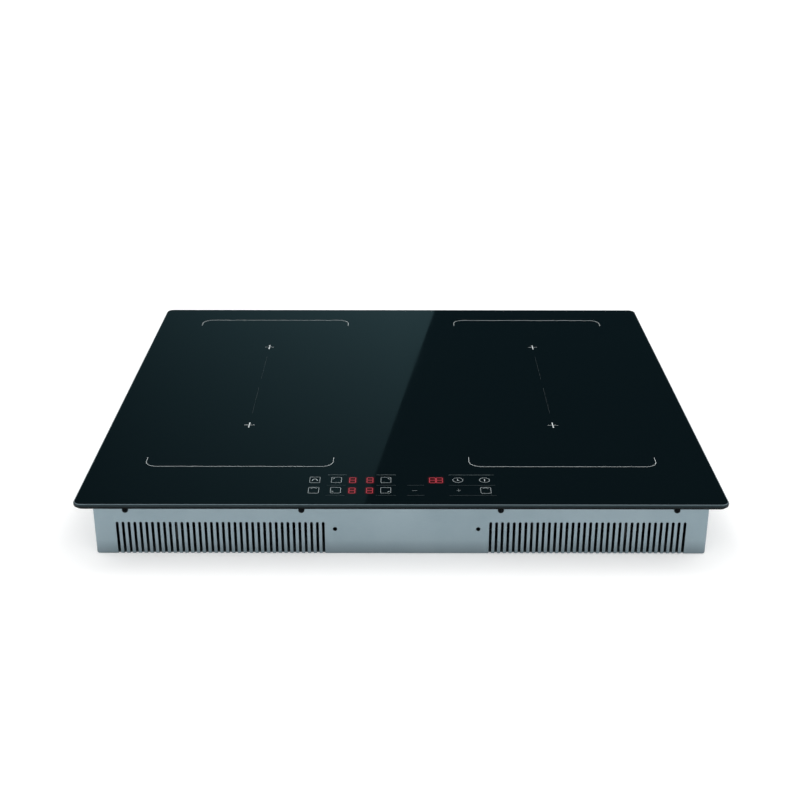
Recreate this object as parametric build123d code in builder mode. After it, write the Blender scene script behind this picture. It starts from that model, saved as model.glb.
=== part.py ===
from build123d import *
import os
from math import floor, sqrt

# Built-in induction cooktop, in millimetres: a black glass top bonded to a frame in a steel tray,
# four coils on two sprung plates, two power boards cooled by blowers, and touch controls in front.
# The origin is the middle of the underside. +X is right, +Y is the rear and +Z is up.

# Overall sizes
glass_width = 590.0
glass_depth = 520.0
overall_height = 58.5

# Glass top
glass_thickness = 4.0
glass_corner_radius = 8.0
glass_top_round = 1.5
glass_under_round = 1.2

# Foam seal that rests on the worktop, and the bead that bonds the glass to its frame
seal_thickness = 1.0
seal_width = 8.0
seal_inset = 1.0
bead_width = 6.0
bead_inset = 4.0

# Casing tray
overhang = 14.5
sheet = 0.8
casing_corner = 3.0
bend_radius = 1.2
casing_top_gap = 0.5

# Vent slots along the front, beside the pair of bracket holes
slot_width = 2.6
slot_pitch = 5.375
slot_top = 33.0
slot_wrap = 2.4
slot_edge = 21.3
slot_bracket_gap = 10.0
bracket_spacing = 130.9
bracket_offset = 5.1
bracket_hole_radius = 2.0
bracket_height = 25.8

# Glass frame
frame_sheet = 0.8
frame_gap = 0.2
frame_flange = 14.0
frame_skirt = 14.0
frame_corner = 3.0

# Pan head screw, used throughout
screw_radius = 1.45
screw_length = 6.0
head_radius = 2.8
head_height = 2.2
head_edge = 0.9
cross_width = 0.8
cross_length = 3.6
cross_depth = 1.0
thread_gap = 0.05
screw_clearance = 0.3

# Places of the screws that join the casing to the frame
screw_drop = 12.9
screw_edge = 29.75
screw_inner = 90.6
screw_side = 170.0

# Coils
coil_turns = 16
coil_bore_radius = 25.0
wire_width = 3.0
wire_height = 4.5
turn_gap = 0.6
felt_thickness = 3.3
felt_bore_radius = 20.0
former_floor = 1.0
former_rim = 2.0
former_lip = 3.0
former_gap = 1.9
former_hub_radius = 22.0
former_bore_radius = 18.0
ferrite_count = 8
ferrite_width = 12.0
ferrite_height = 4.0
ferrite_gap = 4.0

# Temperature sensors in the middle of the coils
sensor_radius = 5.0
sensor_cap_radius = 7.0
sensor_cap_height = 3.0

# Sprung plates that carry the coils
plate_thickness = 1.2
plate_margin = 14.0
plate_front_gap = 7.7
plate_rear_gap = 13.7
plate_corner = 10.0
spring_inset = 14.0
spring_width = 10.0
spring_thickness = 0.8
spring_foot = 5.0
post_size = 14.0
post_height = 21.0
post_round = 2.0

# Power boards on their carriers
board_thickness = 1.6
board_stand = 7.2
board_gap = 4.0
board_length = 255.0
board_front = 44.5
board_screw_inset = 6.0
carrier_floor = 2.0
carrier_lip = 1.0
stud_radius = 4.0

# Heat sinks, transistors, capacitors and air ducts on the power boards
air_shift = 10.0
heatsink_width = 60.0
heatsink_length = 190.0
heatsink_front = 30.0
heatsink_base = 5.0
heatsink_height = 24.4
fin_count = 9
fin_thickness = 1.6
side_fin_thickness = 4.0
transistor_size = (5.0, 16.0, 21.0)
transistor_spacing = 50.0
lead_size = (0.6, 1.2)
lead_length = 2.4
lead_pitch = 5.4
film_size = (18.0, 32.0, 22.0)
film_round = 2.0
film_spacing = 45.0
film_front = 45.0
can_radius = 9.0
can_height = 25.0
can_spacing = 24.0
can_gap = 30.0
duct_width = 84.0
duct_wall = 1.2
duct_height = 26.4
duct_front_gap = 7.7
duct_fan_gap = 0.3

# Blowers
fan_board_gap = 37.0
fan_outlet_reach = 58.0
fan_outlet_width = 60.0
fan_radius = 48.5
fan_wall = 1.5
fan_height = 27.2
fan_inlet_radius = 33.0
fan_blade_gap = 2.5
fan_run_gap = 0.6
impeller_radius = 37.0
impeller_plate = 1.5
hub_radius = 17.0
hub_height = 17.0
blade_count = 24
blade_length = 9.0
blade_thickness = 1.2
blade_angle = 35.0
ring_width = 3.5
shaft_radius = 1.5
shaft_clearance = 0.05
shaft_end_gap = 0.5
bush_radius = 6.0
bush_drop = 2.0
bush_cap = 2.5
bush_end = 0.8
grille_pitch = 6.0
grille_slot = 3.0
grille_rows = 9

# Mains filter board in the middle
filter_width = 90.0
filter_length = 160.0
filter_rear_gap = 46.0
choke_radius = 23.0
choke_bore_radius = 11.0
choke_height = 16.0
choke_round = 3.0
choke_rear = 40.0
filter_film_size = (14.0, 28.0, 20.0)
filter_film_spacing = 44.0
filter_film_front = 50.0

# Touch controls under the glass, measured from the front edge of the glass
row_front = 26.0
row_pitch = 20.6
holder_half_width = 87.0
holder_wall = 1.5
holder_front_gap = 0.3
holder_length = 44.4
holder_depth = 13.0
holder_ear = 15.0
holder_ear_length = 11.0
holder_ear_inset = 1.4
holder_ear_thickness = 2.0
control_board_gap = 0.4
control_stand = 2.5
control_window_gap = 2.0
digit_columns = (-44.0, -27.8)
digit_size = (10.0, 13.0, 6.9)
timer_column = 34.0
timer_width = 20.0
paired_keys = (-79.0, -59.0, -12.8, 54.0, 79.0)
front_key = 14.0
key_spring_radius = 4.0
key_spring_wall = 0.5

# Flat cable from the controls to the filter board
cable_width = 20.0
cable_thickness = 0.8
cable_bend = 3.0
cable_drop_gap = 8.0
cable_overlap = 10.0
cable_rise_gap = 6.0
cable_slot_gap = 0.5

# Mains terminal box at the rear, with its hinged cover and the grommet for a cable
box_half_width = 58.0
box_depth = 47.7
box_height = 36.2
box_wall = 2.0
box_post_gap = 1.2
opening_left = -52.0
opening_width = 70.0
opening_bottom = 9.0
opening_height = 24.0
cover_gap = 0.5
cover_thickness = 2.2
hinge_gap = 0.4
barrel_step = 0.3
journal_wall_gap = 0.2
journal_reach = 3.0
journal_clearance = 0.05
journal_end_gap = 0.3
lug_size = 5.0
catch_width = 14.0
catch_thickness = 1.6
catch_reach = 4.0
catch_gap = 0.7
catch_drop = 0.7
grip_width = 16.0
grip_height = 3.0
grip_depth = 1.2
block_left = -48.0
block_width = 62.0
block_depth = 18.0
block_height = 20.0
block_gap = 0.2
ways = 6
wire_hole_radius = 3.0
wire_hole_depth = 12.0
wire_hole_height = 7.0
clamp_height = 14.5
clamp_radius = 2.4
clamp_head = 1.4
clamp_slot = 0.8
grommet_x = 38.0
grommet_z = 19.0
grommet_bore_radius = 5.5
grommet_neck_radius = 8.9
grommet_flange_radius = 11.0
grommet_flange = 1.8
grommet_gap = 0.1

# Heights of the stack, from the glass down
glass_underside = overall_height - glass_thickness
frame_top = glass_underside - seal_thickness
casing_top = glass_underside - casing_top_gap
screw_z = overall_height - screw_drop
felt_z = glass_underside - felt_thickness
wire_z = felt_z - wire_height
former_z = wire_z - former_floor
plate_top = former_z - ferrite_height
plate_z = plate_top - plate_thickness

# Heights of the stack, from the casing's floor up
post_top = sheet + post_height
board_z = sheet + board_stand
board_top = board_z + board_thickness
fan_top = sheet + fan_height
hub_top = fan_top - bush_drop - fan_run_gap
blade_z = sheet + fan_wall + fan_blade_gap

# Outlines in plan
casing_width = glass_width - 2 * overhang
casing_depth = glass_depth - 2 * overhang
inner_front_y = sheet - casing_depth / 2
inner_rear_y = casing_depth / 2 - sheet
frame_width = casing_width - 2 * (sheet + frame_gap)
frame_depth = casing_depth - 2 * (sheet + frame_gap)

# Places in plan
wire_pitch = wire_width + turn_gap
coil_outer_radius = coil_bore_radius + coil_turns * wire_pitch + wire_width / 2
former_radius = coil_outer_radius + former_gap + former_rim
plate_half_width = former_radius + plate_margin
post_x = box_half_width + box_post_gap + post_size / 2
coil_x = post_x - spring_inset + plate_half_width
board_width = 2 * (plate_half_width - spring_inset - post_size / 2 - board_gap)
board_front_y = board_front - casing_depth / 2
board_rear_y = board_front_y + board_length
board_y = (board_front_y + board_rear_y) / 2
air_x = coil_x + air_shift
heatsink_front_y = board_front_y + heatsink_front
outlet_y = board_rear_y + fan_board_gap
fan_y = outlet_y + fan_outlet_reach
row_front_y = row_front - glass_depth / 2
row_rear_y = row_front_y + row_pitch
holder_z = glass_underside - holder_depth
holder_front_y = inner_front_y + frame_gap + frame_sheet + holder_front_gap
holder_rear_y = holder_front_y + holder_length
holder_y = (holder_front_y + holder_rear_y) / 2
coil_front_y = holder_rear_y + plate_front_gap + plate_half_width
coil_rear_y = inner_rear_y - plate_rear_gap - plate_half_width
plate_y = (coil_front_y + coil_rear_y) / 2
plate_length = coil_rear_y - coil_front_y + 2 * plate_half_width
control_z = holder_z + holder_wall + control_stand
window_half_width = holder_half_width + control_window_gap
box_front_y = inner_rear_y - box_depth
filter_rear_y = box_front_y - filter_rear_gap
filter_front_y = filter_rear_y - filter_length
filter_y = (filter_front_y + filter_rear_y) / 2
cover_left = opening_left + cover_gap
cover_width = opening_width - 2 * cover_gap
cover_top = opening_bottom + opening_height - cover_gap
hinge_y = casing_depth / 2 - cover_thickness
hinge_z = opening_bottom + cover_thickness + hinge_gap
journal_radius = cover_thickness - sheet - journal_wall_gap
barrel_radius = journal_radius + barrel_step
cover_x = cover_left + cover_width / 2

front_face = Plane.XZ.offset(casing_depth / 2)
rear_face = Plane.XZ.offset(-casing_depth / 2)
sides = {"left": -1, "right": 1}
coil_rows = {"front": coil_front_y, "rear": coil_rear_y}
coil_centres = [(side * coil_x, y) for side in sides.values() for y in coil_rows.values()]
bracket_places = [
    (bracket_offset - bracket_spacing / 2, bracket_height),
    (bracket_offset + bracket_spacing / 2, bracket_height),
]
middle_low = (Align.CENTER, Align.CENTER, Align.MIN)
middle_high = (Align.CENTER, Align.CENTER, Align.MAX)

os.makedirs("parts", exist_ok=True)


def write(piece, name):
    """Label one finished piece and write it as its own file."""
    piece.label = name
    export_step(piece, f"parts/{name}.step")


def slot_places():
    """Centres of the front vent slots, from each side inward up to the bracket holes."""
    outer = casing_width / 2 - slot_edge
    left_end, right_end = bracket_places[0][0], bracket_places[1][0]
    left_count = floor((outer + left_end - slot_bracket_gap) / slot_pitch) + 1
    right_count = floor((outer - right_end - slot_bracket_gap) / slot_pitch) + 1
    left = [index * slot_pitch - outer for index in range(left_count)]
    right = [outer - index * slot_pitch for index in range(right_count)]
    return left + right


def casing_screw_planes():
    """A plane at each screw that joins casing and frame, facing out of the casing."""
    planes = []
    for x in (screw_edge - casing_width / 2, -screw_inner, screw_inner, casing_width / 2 - screw_edge):
        planes.append(Plane((x, -casing_depth / 2, screw_z), (1, 0, 0), (0, -1, 0)))
        planes.append(Plane((x, casing_depth / 2, screw_z), (-1, 0, 0), (0, 1, 0)))
    for side in sides.values():
        for y in (-screw_side, screw_side):
            planes.append(Plane((side * casing_width / 2, y, screw_z), (0, side, 0), (side, 0, 0)))
    return planes


def ring_outline(width, depth, corner, band):
    """A rounded rectangle with all but a band along its edge cut away, in the current sketch."""
    RectangleRounded(width, depth, corner)
    Rectangle(width - 2 * band, depth - 2 * band, mode=Mode.SUBTRACT)


# Glass top with a ground edge
with BuildPart() as glass_panel:
    with BuildSketch(Plane.XY.offset(glass_underside)):
        RectangleRounded(glass_width, glass_depth, glass_corner_radius)
    extrude(amount=glass_thickness)
    fillet(glass_panel.faces().sort_by(Axis.Z)[-1].edges(), glass_top_round)
    fillet(glass_panel.faces().sort_by(Axis.Z)[0].edges(), glass_under_round)
write(glass_panel.part, "glass_panel")

# Foam seal under the rim of the glass
with BuildPart() as foam_seal:
    with BuildSketch(Plane.XY.offset(glass_underside)):
        seal_size = (glass_width - 2 * seal_inset, glass_depth - 2 * seal_inset)
        ring_outline(*seal_size, glass_corner_radius, seal_width)
    extrude(amount=-seal_thickness)
write(foam_seal.part, "foam_seal")

# Adhesive bead between the frame and the glass, left out over the controls
with BuildPart() as adhesive_bead:
    with BuildSketch(Plane.XY.offset(frame_top)):
        ring_outline(frame_width - 2 * bead_inset, frame_depth - 2 * bead_inset, bead_width, bead_width)
    extrude(amount=seal_thickness)
    with Locations((0, -frame_depth / 2, frame_top)):
        Box(2 * window_half_width, 2 * frame_flange, 2 * seal_thickness, mode=Mode.SUBTRACT)
write(adhesive_bead.part, "adhesive_bead")

# Frame of angled sheet that carries the glass inside the casing
ear_screw_x = holder_half_width + holder_ear / 2
ear_y = holder_front_y + holder_ear_inset + holder_ear_length / 2
with BuildPart() as glass_frame:
    with BuildSketch(Plane.XY.offset(frame_top)):
        ring_outline(frame_width, frame_depth, frame_corner, frame_sheet)
    extrude(amount=-frame_skirt)
    with BuildSketch(Plane.XY.offset(frame_top)):
        ring_outline(frame_width, frame_depth, frame_corner, frame_flange)
    extrude(amount=-frame_sheet)
    with Locations((0, holder_front_y, frame_top - frame_sheet)):
        Box(
            2 * window_half_width,
            frame_flange + frame_sheet,
            2 * frame_sheet,
            align=(Align.CENTER, Align.MIN, Align.CENTER),
            mode=Mode.SUBTRACT,
        )
    with Locations(*[plane.location for plane in casing_screw_planes()]):
        Cylinder(screw_radius + thread_gap, 2 * screw_length, mode=Mode.SUBTRACT)
    with Locations((-ear_screw_x, ear_y, frame_top), (ear_screw_x, ear_y, frame_top)):
        Cylinder(screw_radius + thread_gap, 4 * frame_sheet, mode=Mode.SUBTRACT)
write(glass_frame.part, "glass_frame")

# Casing tray with its vents, bracket holes, mains opening and grommet hole
fan_centres = [(side * air_x, fan_y) for side in sides.values()]
slot_length = slot_top + slot_wrap
with BuildPart() as casing_tray:
    with BuildSketch():
        RectangleRounded(casing_width, casing_depth, casing_corner)
    extrude(amount=casing_top)
    fillet(casing_tray.faces().sort_by(Axis.Z)[0].edges(), bend_radius)
    offset(amount=-sheet, openings=casing_tray.faces().sort_by(Axis.Z)[-1])
    with BuildSketch(front_face):
        with Locations(*[(x, slot_top - slot_length / 2) for x in slot_places()]):
            SlotOverall(slot_length, slot_width, rotation=90)
    extrude(amount=-slot_wrap, mode=Mode.SUBTRACT)
    with BuildSketch(front_face, rear_face):
        with Locations(*bracket_places):
            Circle(bracket_hole_radius)
    extrude(amount=2 * sheet, both=True, mode=Mode.SUBTRACT)
    with BuildSketch(rear_face):
        with Locations((opening_left + opening_width / 2, opening_bottom + opening_height / 2)):
            Rectangle(opening_width, opening_height)
        with Locations((grommet_x, grommet_z)):
            Circle(grommet_neck_radius + grommet_gap)
    extrude(amount=2 * sheet, mode=Mode.SUBTRACT)
    with Locations(*[plane.location for plane in casing_screw_planes()]):
        Cylinder(screw_radius + screw_clearance, 4 * sheet, mode=Mode.SUBTRACT)
    with BuildSketch():
        for row in range(-(grille_rows // 2), grille_rows // 2 + 1):
            shift = row * grille_pitch
            chord = 2 * sqrt(fan_inlet_radius**2 - shift**2)
            with Locations(*[(x, y + shift) for x, y in fan_centres]):
                SlotOverall(chord, grille_slot)
    extrude(amount=sheet, mode=Mode.SUBTRACT)
write(casing_tray.part, "casing_tray")

# One pan head screw, head up, with the underside of its head at the origin
with BuildPart() as pan_screw:
    with BuildSketch(Plane.XZ):
        with BuildLine():
            Polyline(
                (0, head_height),
                (0, -screw_length),
                (screw_radius, -screw_length),
                (screw_radius, 0),
                (head_radius, 0),
                (head_radius, head_edge),
            )
            TangentArc((0, head_height), (head_radius, head_edge), tangent=(1, 0))
        make_face()
    revolve(axis=Axis.Z)
    with BuildSketch(Plane.XY.offset(head_height)):
        Rectangle(cross_length, cross_width)
        Rectangle(cross_width, cross_length)
    extrude(amount=-cross_depth, mode=Mode.SUBTRACT)

with BuildPart() as casing_screws:
    with Locations(*[plane.location for plane in casing_screw_planes()]):
        add(pan_screw.part)
write(casing_screws.part, "casing_screws")


def winding(centre):
    """A flat spiral of half circles about two centres, half a pitch apart."""
    step = wire_pitch / 2
    x, y = centre
    with BuildPart() as coil:
        with BuildSketch(Plane.XY.offset(wire_z)):
            with BuildLine():
                for half in range(2 * coil_turns):
                    middle = (x + step * (half % 2), y)
                    radius = coil_bore_radius + wire_width / 2 + step * half
                    for edge in (-wire_width / 2, wire_width / 2):
                        CenterArc(middle, radius + edge, 180 * (half % 2), 180)
                start = x + coil_bore_radius
                end = start + coil_turns * wire_pitch
                Line((start, y), (start + wire_width, y))
                Line((end, y), (end + wire_width, y))
            make_face()
        extrude(amount=wire_height)
    return coil.part


def former(centre):
    """The dish that holds a winding, with a rim, a hub and room for ferrite bars beneath."""
    height = ferrite_height + former_floor + former_lip
    with BuildPart(Plane((*centre, plate_top))) as dish:
        Cylinder(former_radius, height, align=middle_low)
        with Locations((0, 0, ferrite_height + former_floor)):
            Cylinder(former_radius - former_rim, height, align=middle_low, mode=Mode.SUBTRACT)
            Cylinder(former_hub_radius, former_lip, align=middle_low)
        with Locations((0, 0, ferrite_height)):
            Cylinder(former_radius - former_rim, height, align=middle_high, mode=Mode.SUBTRACT)
            Cylinder(former_hub_radius, ferrite_height, align=middle_high)
        Cylinder(former_bore_radius, 4 * height, mode=Mode.SUBTRACT)
    return dish.part


def felt(centre):
    """The insulating disc between a winding and the glass."""
    with BuildPart(Plane((*centre, felt_z))) as disc:
        Cylinder(coil_outer_radius, felt_thickness, align=middle_low)
        Cylinder(felt_bore_radius, 4 * felt_thickness, mode=Mode.SUBTRACT)
    return disc.part


# Coils: winding, former and felt for each zone
for side_name, side in sides.items():
    for row_name, row_y in coil_rows.items():
        zone = f"{side_name}_{row_name}"
        zone_centre = (side * coil_x, row_y)
        write(winding(zone_centre), f"coil_winding_{zone}")
        write(former(zone_centre), f"coil_former_{zone}")
        write(felt(zone_centre), f"insulation_felt_{zone}")
print("gap between turns", turn_gap)

# Temperature sensors, which press on the glass in the middle of each coil
with BuildPart() as temperature_sensors:
    with Locations(*[(x, y, plate_top) for x, y in coil_centres]):
        Cylinder(sensor_radius, glass_underside - plate_top, align=middle_low)
    with Locations(*[(x, y, glass_underside) for x, y in coil_centres]):
        Cylinder(sensor_cap_radius, sensor_cap_height, align=middle_high)
write(temperature_sensors.part, "temperature_sensors")


def spring_places(side):
    """Plan places of the four springs under one coil plate."""
    outer = coil_x + plate_half_width - spring_inset
    reach = plate_length / 2 - spring_inset
    return [(side * x, plate_y + y) for x in (post_x, outer) for y in (-reach, reach)]


def coil_side_pieces(side_name, side):
    """Ferrite bars, coil plate, leaf springs and posts on one side."""
    bar_inner = former_hub_radius + ferrite_gap
    bar_outer = former_radius - former_rim - ferrite_gap
    bar_length = bar_outer - bar_inner
    with BuildPart() as ferrites:
        for row_y in coil_rows.values():
            with BuildSketch(Plane((side * coil_x, row_y, plate_top))):
                with PolarLocations((bar_inner + bar_outer) / 2, ferrite_count):
                    Rectangle(bar_length, ferrite_width)
        extrude(amount=ferrite_height)
    write(ferrites.part, f"ferrite_bars_{side_name}")

    with BuildPart() as plate:
        with BuildSketch(Plane((side * coil_x, plate_y, plate_z))):
            RectangleRounded(2 * plate_half_width, plate_length, plate_corner)
        extrude(amount=plate_thickness)
    write(plate.part, f"coil_plate_{side_name}")

    height = plate_z - post_top
    bend = (height - spring_thickness) / 2
    with BuildPart() as springs:
        for x, y in spring_places(side):
            inward = 1 if y < plate_y else -1
            corner = (x - inward * spring_width / 2, y, post_top)
            with BuildSketch(Plane(corner, (0, inward, 0), (inward, 0, 0))):
                with BuildLine():
                    Line((-spring_foot, spring_thickness / 2), (0, spring_thickness / 2))
                    turn = CenterArc((0, height / 2), bend, -90, 180)
                    Line(turn @ 1, (-spring_foot, height - spring_thickness / 2))
                trace(line_width=spring_thickness)
            extrude(amount=spring_width)
    write(springs.part, f"plate_springs_{side_name}")

    with BuildPart() as posts:
        for x, y in spring_places(side):
            with BuildSketch(Plane((x, y, sheet))):
                RectangleRounded(post_size, post_size, post_round)
        extrude(amount=post_height)
    write(posts.part, f"spring_posts_{side_name}")


def board_screw_places(side):
    """Plan places of the four screws through one power board."""
    reach_x = board_width / 2 - board_screw_inset
    reach_y = board_length / 2 - board_screw_inset
    x = side * coil_x
    return [(x + i * reach_x, board_y + j * reach_y) for i in (-1, 1) for j in (-1, 1)]


def carrier(centre, size, places):
    """A moulded tray on the casing's floor with studs that a board is screwed to."""
    with BuildPart() as tray:
        with BuildSketch(Plane((*centre, sheet))):
            Rectangle(size[0] + 2 * carrier_lip, size[1] + 2 * carrier_lip)
        extrude(amount=carrier_floor)
        with Locations(*[(x, y, sheet) for x, y in places]):
            Cylinder(stud_radius, board_stand, align=middle_low)
        with Locations(*[(x, y, board_z) for x, y in places]):
            Cylinder(screw_radius + thread_gap, 2 * screw_length, mode=Mode.SUBTRACT)
    return tray.part


def circuit_board(centre, size, places):
    """A board with its screw holes."""
    with BuildPart() as board:
        with BuildSketch(Plane((*centre, board_z))):
            Rectangle(*size)
        extrude(amount=board_thickness)
        with Locations(*[(x, y, board_z) for x, y in places]):
            Cylinder(screw_radius + screw_clearance, 4 * board_thickness, mode=Mode.SUBTRACT)
    return board.part


def power_side_pieces(side_name, side):
    """Carrier, power board and what is mounted on it on one side."""
    centre = (side * coil_x, board_y)
    size = (board_width, board_length)
    write(carrier(centre, size, board_screw_places(side)), f"board_carrier_{side_name}")
    write(circuit_board(centre, size, board_screw_places(side)), f"power_board_{side_name}")

    half_width = heatsink_width / 2
    fin_height = heatsink_height - heatsink_base
    fin_step = (heatsink_width - fin_thickness) / (fin_count - 1)
    side_fin_x = side * (air_x + half_width - side_fin_thickness / 2)
    with BuildPart() as heatsink:
        with BuildSketch(Plane.XZ.offset(-heatsink_front_y)):
            with Locations((side * air_x, board_top)):
                Rectangle(heatsink_width, heatsink_base, align=(Align.CENTER, Align.MIN))
            with Locations((side * air_x, board_top + heatsink_base + fin_height / 2)):
                with GridLocations(fin_step, 1, fin_count, 1):
                    Rectangle(fin_thickness, fin_height)
            with Locations((side_fin_x, board_top)):
                Rectangle(side_fin_thickness, heatsink_height, align=(Align.CENTER, Align.MIN))
        extrude(amount=-heatsink_length)
    write(heatsink.part, f"heatsink_{side_name}")

    body_x = side * (air_x + half_width + transistor_size[0] / 2)
    middle_y = heatsink_front_y + heatsink_length / 2
    body_z = board_top + lead_length
    with BuildPart() as transistors:
        with Locations((body_x, middle_y, body_z)):
            with GridLocations(1, transistor_spacing, 1, 3):
                Box(*transistor_size, align=middle_low)
                with GridLocations(1, lead_pitch, 1, 3):
                    Box(*lead_size, lead_length, align=middle_high)
    write(transistors.part, f"power_transistors_{side_name}")

    duct_inner_x = air_x - duct_width / 2 - duct_wall
    strip_x = side * (coil_x - board_width / 2 + duct_inner_x) / 2
    film_ys = [board_front_y + film_front + index * film_spacing for index in range(3)]
    can_ys = [film_ys[-1] + film_size[1] / 2 + can_gap + index * can_spacing for index in range(2)]
    with BuildPart() as capacitors:
        with BuildSketch(Plane.XY.offset(board_top)):
            with Locations(*[(strip_x, y) for y in film_ys]):
                RectangleRounded(film_size[0], film_size[1], film_round)
        extrude(amount=film_size[2])
        with Locations(*[(strip_x, y, board_top) for y in can_ys]):
            Cylinder(can_radius, can_height, align=middle_low)
    write(capacitors.part, f"capacitors_{side_name}")

    duct_front_y = inner_front_y + duct_front_gap
    duct_length = outlet_y - duct_fan_gap - duct_front_y
    with BuildPart() as duct:
        with Locations((side * air_x, duct_front_y, board_top)):
            Box(
                duct_width + 2 * duct_wall,
                duct_length,
                duct_height + duct_wall,
                align=(Align.CENTER, Align.MIN, Align.MIN),
            )
            Box(
                duct_width,
                duct_length,
                duct_height,
                align=(Align.CENTER, Align.MIN, Align.MIN),
                mode=Mode.SUBTRACT,
            )
    write(duct.part, f"air_duct_{side_name}")


def blower_outline(margin):
    """The round chamber and its straight outlet, grown outward by a margin."""
    Circle(fan_radius + margin)
    with Locations((0, -fan_outlet_reach / 2)):
        Rectangle(fan_outlet_width + 2 * margin, fan_outlet_reach)


def blower_pieces(side_name, side):
    """Blower housing open at the front and below, its cover with the shaft's bush, and the impeller."""
    floor_plane = Plane((side * air_x, fan_y, sheet))
    with BuildPart() as housing:
        with BuildSketch(floor_plane):
            blower_outline(fan_wall)
        extrude(amount=fan_height)
        with BuildSketch(floor_plane.offset(fan_wall)):
            blower_outline(0)
        extrude(amount=fan_height, mode=Mode.SUBTRACT)
        with BuildSketch(floor_plane):
            Circle(fan_inlet_radius)
        extrude(amount=fan_wall, mode=Mode.SUBTRACT)
    write(housing.part, f"fan_housing_{side_name}")

    bush_top = fan_wall + bush_cap
    with BuildPart(floor_plane.offset(fan_height)) as cover:
        with BuildSketch(floor_plane.offset(fan_height)):
            blower_outline(fan_wall)
        extrude(amount=fan_wall)
        Cylinder(bush_radius, bush_top, align=middle_low)
        Cylinder(bush_radius, bush_drop, align=middle_high)
        with Locations((0, 0, bush_top - bush_end)):
            Cylinder(
                shaft_radius + shaft_clearance,
                bush_top + bush_drop,
                align=middle_high,
                mode=Mode.SUBTRACT,
            )
    write(cover.part, f"fan_cover_{side_name}")

    blade_height = hub_top - blade_z
    blade_ring = impeller_radius - blade_length / 2
    shaft_top = fan_top + bush_top - bush_end - shaft_end_gap
    with BuildPart(Plane((side * air_x, fan_y, blade_z))) as impeller:
        with PolarLocations(blade_ring, blade_count):
            Box(blade_length, blade_thickness, blade_height, rotation=(0, 0, blade_angle), align=middle_low)
        Cylinder(impeller_radius, impeller_plate, align=middle_low)
        Cylinder(impeller_radius - ring_width, impeller_plate, align=middle_low, mode=Mode.SUBTRACT)
        with Locations((0, 0, blade_height)):
            Cylinder(impeller_radius, impeller_plate, align=middle_high)
            Cylinder(hub_radius, hub_height, align=middle_high)
            Cylinder(shaft_radius, shaft_top - hub_top, align=middle_low)
    write(impeller.part, f"fan_impeller_{side_name}")


for side_name, side in sides.items():
    coil_side_pieces(side_name, side)
    power_side_pieces(side_name, side)
    blower_pieces(side_name, side)

# Mains filter in the middle: carrier, board, choke and capacitors
filter_reach_x = filter_width / 2 - board_screw_inset
filter_reach_y = filter_length / 2 - board_screw_inset
filter_screws = [(i * filter_reach_x, filter_y + j * filter_reach_y) for i in (-1, 1) for j in (-1, 1)]
write(carrier((0, filter_y), (filter_width, filter_length), filter_screws), "filter_carrier")
write(circuit_board((0, filter_y), (filter_width, filter_length), filter_screws), "filter_board")

with BuildPart() as filter_choke:
    with BuildSketch(Plane((0, filter_rear_y - choke_rear, board_top))):
        Circle(choke_radius)
        Circle(choke_bore_radius, mode=Mode.SUBTRACT)
    extrude(amount=choke_height)
    fillet(filter_choke.faces().sort_by(Axis.Z)[-1].edges(), choke_round)
write(filter_choke.part, "filter_choke")

with BuildPart() as filter_capacitors:
    with BuildSketch(Plane((0, filter_front_y + filter_film_front, board_top))):
        with GridLocations(filter_film_spacing, 1, 2, 1):
            RectangleRounded(filter_film_size[0], filter_film_size[1], film_round)
    extrude(amount=filter_film_size[2])
write(filter_capacitors.part, "filter_capacitors")

# Holder of the controls, with a slot for the cable and two ears screwed under the frame
ear_z = frame_top - frame_sheet - holder_ear_thickness
control_reach_x = holder_half_width - holder_wall - control_board_gap
control_length = holder_length - 2 * (holder_wall + control_board_gap)
with BuildPart() as control_holder:
    with Locations((0, holder_y, holder_z)):
        Box(2 * holder_half_width, holder_length, holder_depth, align=middle_low)
    with Locations((0, holder_y, holder_z + holder_wall)):
        Box(
            2 * (holder_half_width - holder_wall),
            holder_length - 2 * holder_wall,
            holder_depth,
            align=middle_low,
            mode=Mode.SUBTRACT,
        )
        with GridLocations(2 * control_reach_x - 2 * stud_radius, control_length - 2 * stud_radius, 2, 2):
            Cylinder(stud_radius, control_stand, align=middle_low)
    with Locations((-ear_screw_x, ear_y, ear_z), (ear_screw_x, ear_y, ear_z)):
        Box(holder_ear, holder_ear_length, holder_ear_thickness, align=middle_low)
        Cylinder(screw_radius + screw_clearance, 4 * holder_ear_thickness, mode=Mode.SUBTRACT)
    with Locations((0, holder_rear_y, control_z - cable_thickness / 2)):
        Box(
            cable_width + 2 * cable_slot_gap,
            4 * holder_wall,
            cable_thickness + 2 * cable_slot_gap,
            mode=Mode.SUBTRACT,
        )
write(control_holder.part, "control_holder")

with BuildPart() as control_board:
    with Locations((0, holder_y, control_z)):
        Box(2 * control_reach_x, control_length, board_thickness, align=middle_low)
write(control_board.part, "control_board")

# Digit displays and the springs behind the touch keys
control_top = control_z + board_thickness
with BuildPart() as display_modules:
    with Locations(*[(x, y, control_top) for x in digit_columns for y in (row_front_y, row_rear_y)]):
        Box(*digit_size, align=middle_low)
    with Locations((timer_column, row_rear_y, control_top)):
        Box(timer_width, digit_size[1], digit_size[2], align=middle_low)
write(display_modules.part, "display_modules")

key_places = [(x, y) for x in paired_keys for y in (row_front_y, row_rear_y)] + [(front_key, row_front_y)]
with BuildPart() as touch_springs:
    with BuildSketch(Plane.XY.offset(control_top)):
        with Locations(*key_places):
            Circle(key_spring_radius)
            Circle(key_spring_radius - key_spring_wall, mode=Mode.SUBTRACT)
    extrude(amount=glass_underside - control_top)
write(touch_springs.part, "touch_springs")

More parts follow.
